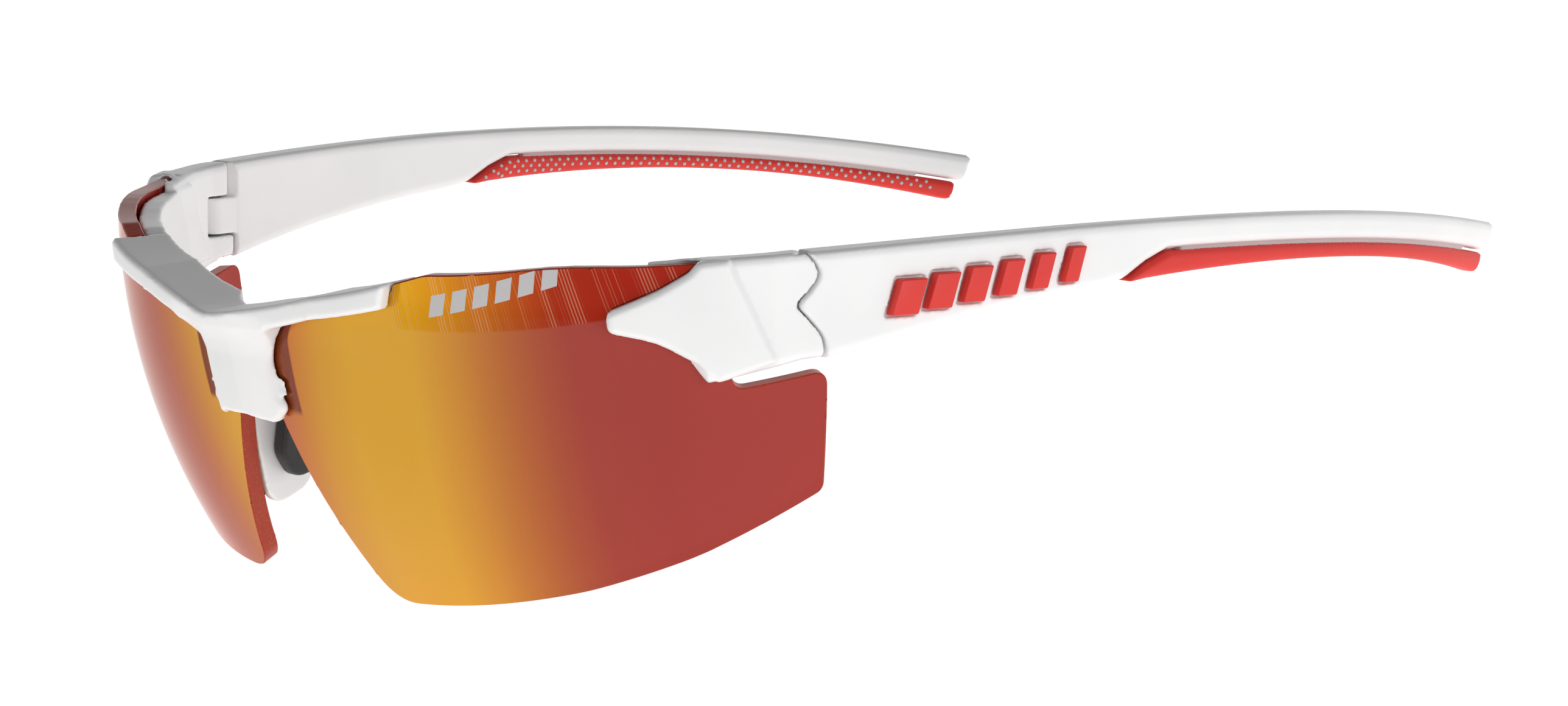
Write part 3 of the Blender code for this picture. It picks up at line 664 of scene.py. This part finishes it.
def underEdge(y):
    if y < arm["underAt"]:
        return arm["under"] - arm["underRootDrop"] * ((arm["underAt"] - y) / arm["underAt"]) ** 2
    return arm["under"] - arm["underTipDrop"] * ((y - arm["underAt"]) / (arm["tip"] - arm["underAt"])) ** 2


def gripTop(y):
    # the grip starts thin at its lower edge and widens up to the white band
    t = min(1.0, max(0.0, (y - arm["gripStart"]) / (arm["shoulder"] - arm["gripStart"])))
    share = t * t * (3 - 2 * t)
    return underEdge(y) * (1 - share) + (topEdge(y) - arm["band"]) * share - arm["gap"]


def tipSlant(y):
    return arm["slant"] * max(0.0, (y - arm["slantFrom"]) / (arm["tip"] - arm["slantFrom"]))


def dotSeeds(name, sign):
    bm = bmesh.new()
    columns = int((dots["end"] - dots["start"]) / dots["pitch"])
    for k in range(columns * 2):
        y = (dots["start"] + k * dots["pitch"] / 2) / mm
        z = gripTop(y) - dots["inset"] / mm - (k % 2) * dots["rows"] / mm
        while z > underEdge(y) + dots["foot"] / mm:
            bm.verts.new((sign * dots["inside"], (y + tipSlant(y) * (z - topEdge(y))) * mm, z * mm))
            z -= 2 * dots["rows"] / mm
    mesh = bpy.data.meshes.new(name)
    bm.to_mesh(mesh)
    bm.free()
    mesh.transform(worn)
    return asObject(name, mesh)


def dotTree():
    tree, bench, given = startTree("gripDots", (
        ("Geometry", "NodeSocketGeometry"), ("Grip", "NodeSocketObject"), ("Outwards", "NodeSocketVector"),
        ("Dot radius", "NodeSocketFloat"), ("Dot height", "NodeSocketFloat"),
        ("Finish", "NodeSocketMaterial"),
    ))
    grip = bench.node("GeometryNodeObjectInfo", {}, {"Object": given["Grip"]}, "Geometry")
    seek = bench.node("GeometryNodeRaycast", {}, {
        "Target Geometry": grip, "Ray Direction": given["Outwards"], "Ray Length": dots["reach"],
    }, "Is Hit")
    ray = seek.socket.node
    found = bench.node(
        "GeometryNodeDeleteGeometry", {"domain": "POINT"},
        {"Geometry": given["Geometry"], "Selection": 1 - seek},
    )
    facing = bench.node(
        "GeometryNodeStoreNamedAttribute", {"data_type": "FLOAT_VECTOR", "domain": "POINT"},
        {"Geometry": found, "Name": "facing", "Value": Wire(bench, ray.outputs["Hit Normal"])},
    )
    landed = bench.node(
        "GeometryNodeSetPosition", {},
        {"Geometry": facing, "Position": Wire(bench, ray.outputs["Hit Position"])},
    )
    ball = bench.node(
        "GeometryNodeMeshUVSphere", {}, {"Segments": dots["sides"], "Rings": dots["rings"], "Radius": 1.0}
    )
    size = bench.node("ShaderNodeCombineXYZ", {}, {
        0: given["Dot radius"], 1: given["Dot radius"], 2: given["Dot height"],
    })
    stored = bench.node(
        "GeometryNodeInputNamedAttribute", {"data_type": "FLOAT_VECTOR"}, {"Name": "facing"}
    )
    turn = bench.node("FunctionNodeAlignRotationToVector", {"axis": "Z"}, {"Vector": stored})
    many = bench.node("GeometryNodeInstanceOnPoints", {}, {
        "Points": landed, "Instance": ball, "Rotation": turn, "Scale": size,
    })
    endTree(bench, many, given["Finish"])
    return tree


scatter = dotTree()
for side, sign in (("left", 1.0), ("right", -1.0)):
    piece = grow(dotSeeds(side + "DotSeeds", sign), scatter, side + "GripDots", {
        "Grip": bpy.data.objects[side + "EarGrip"], "Outwards": (sign, 0.0, 0.0),
        "Dot radius": dots["radius"], "Dot height": dots["height"], "Finish": dotGrey,
    })
    piece.data.shade_smooth()
    handOver(piece, side + "_temple", None)
    each = dots["sides"] * (dots["rings"] - 1) + 2  # a ball's corners
    print("stage:", side, "grip dots,", len(piece.data.vertices) // each, "of them")


# hinge screws: turned, with a slot

screw = dict(
    shank=0.70 * mm, head=1.10 * mm, thick=0.70 * mm, low=-7.0 * mm, top=4.2 * mm,
    dome=0.16 * mm, edge=0.08 * mm, slot=0.32 * mm, deep=0.34 * mm, slotLong=3 * mm,
    plain=1.0 * mm, thread=0.3 * mm, groove=0.07 * mm, point=0.2 * mm, sides=40,
)


def hingeScrew(name, sign):
    low, top, shank, head = screw["low"], screw["top"], screw["shank"], screw["head"]
    under, edge = low + screw["thick"], screw["edge"]
    profile = [(0.0, low), (head * 0.6, low + screw["dome"] * 0.3), (head * 0.9, low + screw["dome"])]
    profile += [(head, low + 2 * screw["dome"]), (head, under - edge), (head - edge, under), (shank, under)]
    z = under + screw["plain"]
    while z < top - screw["plain"] / 2:  # shallow thread, as rings
        profile += [(shank, z), (shank - screw["groove"], z + screw["thread"] / 2)]
        z += screw["thread"]
    profile += [(shank, top - screw["point"]), (shank - screw["point"], top), (0.0, top)]
    bm = bmesh.new()
    chain = [bm.verts.new((r, 0, z)) for r, z in profile]
    edges = [bm.edges.new(pair) for pair in zip(chain, chain[1:])]
    bmesh.ops.spin(
        bm, geom=chain + edges, cent=(0, 0, 0), axis=(0, 0, 1), angle=2 * math.pi, steps=screw["sides"]
    )
    bmesh.ops.remove_doubles(bm, verts=bm.verts[:], dist=0.002 * mm)
    bmesh.ops.recalc_face_normals(bm, faces=bm.faces[:])
    mesh = bpy.data.meshes.new(name + "Raw")
    bm.to_mesh(mesh)
    bm.free()
    body = asObject(name + "Raw", mesh)
    blade = bmesh.new()
    bmesh.ops.create_cube(blade, size=1.0)
    bmesh.ops.scale(blade, vec=(screw["slot"], screw["slotLong"], 2 * screw["deep"]), verts=blade.verts[:])
    bmesh.ops.translate(blade, vec=(0, 0, screw["low"]), verts=blade.verts[:])
    bladeMesh = bpy.data.meshes.new(name + "Blade")
    blade.to_mesh(bladeMesh)
    blade.free()
    cutter = asObject(name + "Blade", bladeMesh)
    cut = body.modifiers.new("slot", "BOOLEAN")
    cut.operation = "DIFFERENCE"
    cut.solver = "EXACT"
    cut.object = cutter
    piece = settled(body, name)
    bpy.data.objects.remove(cutter)
    piece.data.transform(worn @ Matrix.Translation((sign * pin.x, -pinAhead, 0)))
    piece.data.materials.append(steel)
    piece.data.shade_smooth()
    piece.data.set_sharp_from_angle(angle=math.radians(35))
    return piece


for side, sign in (("left", 1.0), ("right", -1.0)):
    handOver(hingeScrew(side + "HingeScrew", sign), "front", "hinge_screw_" + side)
print("stage: hinge screws turned")


# floor, light and camera

studio = dict(
    floor=4.0, floorWhite=0.90, floorShade=0.882, floorGlow=0.85, cloud=0.6, below=0.02 * mm,
    horizon=1.45, zenith=0.08, fade=(0.12, 0.50),
    keyPower=1.3, keySize=0.5, keyPlace=(0.75, -0.10, 0.22), keyAim=(0.04, 0.0, 0.02),
    fillPower=0.3, fillSize=0.7, fillPlace=(0.05, -0.9, 0.20),
)


def makeFloor():
    bm = bmesh.new()
    bmesh.ops.create_grid(bm, x_segments=1, y_segments=1, size=studio["floor"])
    mesh = bpy.data.meshes.new("floor")
    bm.to_mesh(mesh)
    bm.free()
    finish, bench, shader, place = startFinish("paleFloor", {
        "Roughness": 0.9, "Specular IOR Level": 0.1, "Emission Strength": studio["floorGlow"],
        "Emission Color": (1, 1, 1, 1),
    })
    cloudy = bench.noise(place, studio["cloud"])
    bright, dim = ((level, level, level, 1) for level in (studio["floorWhite"], studio["floorShade"]))
    connect(bench, shader, {"Base Color": bench.mixed(cloudy, bright, dim)})
    mesh.materials.append(finish)
    floor = asObject("floor", mesh)
    floor.location = (0, 0, -studio["below"])


def makeSky():
    sky = bpy.data.worlds.new("studioSky")
    bpy.context.scene.world = sky
    sky.use_nodes = True
    bench = Bench(sky.node_tree)
    way = bench.node("ShaderNodeTexCoord", {}, {}, "Generated")
    up = bench.parts(way)[2]
    fade = bench.step(up, *studio["fade"])
    level = studio["horizon"] + fade * (studio["zenith"] - studio["horizon"])
    background = sky.node_tree.nodes["Background"]
    bench.tree.links.new(level.socket, background.inputs["Strength"])
    background.inputs["Color"].default_value = (1, 1, 1, 1)


def softLight(name, place, aim, size, power):
    data = bpy.data.lights.new(name, "AREA")
    data.shape = "DISK"
    data.size = size
    data.energy = power
    light = bpy.data.objects.new(name, data)
    bpy.context.scene.collection.objects.link(light)
    light.location = place
    light.rotation_euler = (Vector(place) - Vector(aim)).to_track_quat("Z", "Y").to_euler()


# the camera stands in the wearer's axes, in millimetres and degrees
view = dict(place=(625.2, -422.9, 86.5), azimuth=53.317, elevation=7.565, lens=139.75, sensor=36.0)


def makeCamera():
    a, e = math.radians(view["azimuth"]), math.radians(view["elevation"])
    back = Vector((math.sin(a) * math.cos(e), -math.cos(a) * math.cos(e), math.sin(e)))
    stand = Matrix.Translation(Vector(view["place"]) * mm)
    data = bpy.data.cameras.new("camera")
    data.lens = view["lens"]
    data.sensor_width = view["sensor"]
    data.clip_start = 0.01
    data.clip_end = 50.0
    camera = bpy.data.objects.new("camera", data)
    bpy.context.scene.collection.objects.link(camera)
    camera.matrix_world = worn @ stand @ back.to_track_quat("Z", "Y").to_matrix().to_4x4()
    bpy.context.scene.camera = camera


makeFloor()
makeSky()
softLight("keyLight", studio["keyPlace"], studio["keyAim"], studio["keySize"], studio["keyPower"])
softLight("fillLight", studio["fillPlace"], studio["keyAim"], studio["fillSize"], studio["fillPower"])
makeCamera()
bpy.context.scene.view_settings.view_transform = "Standard"
print("stage: studio ready")
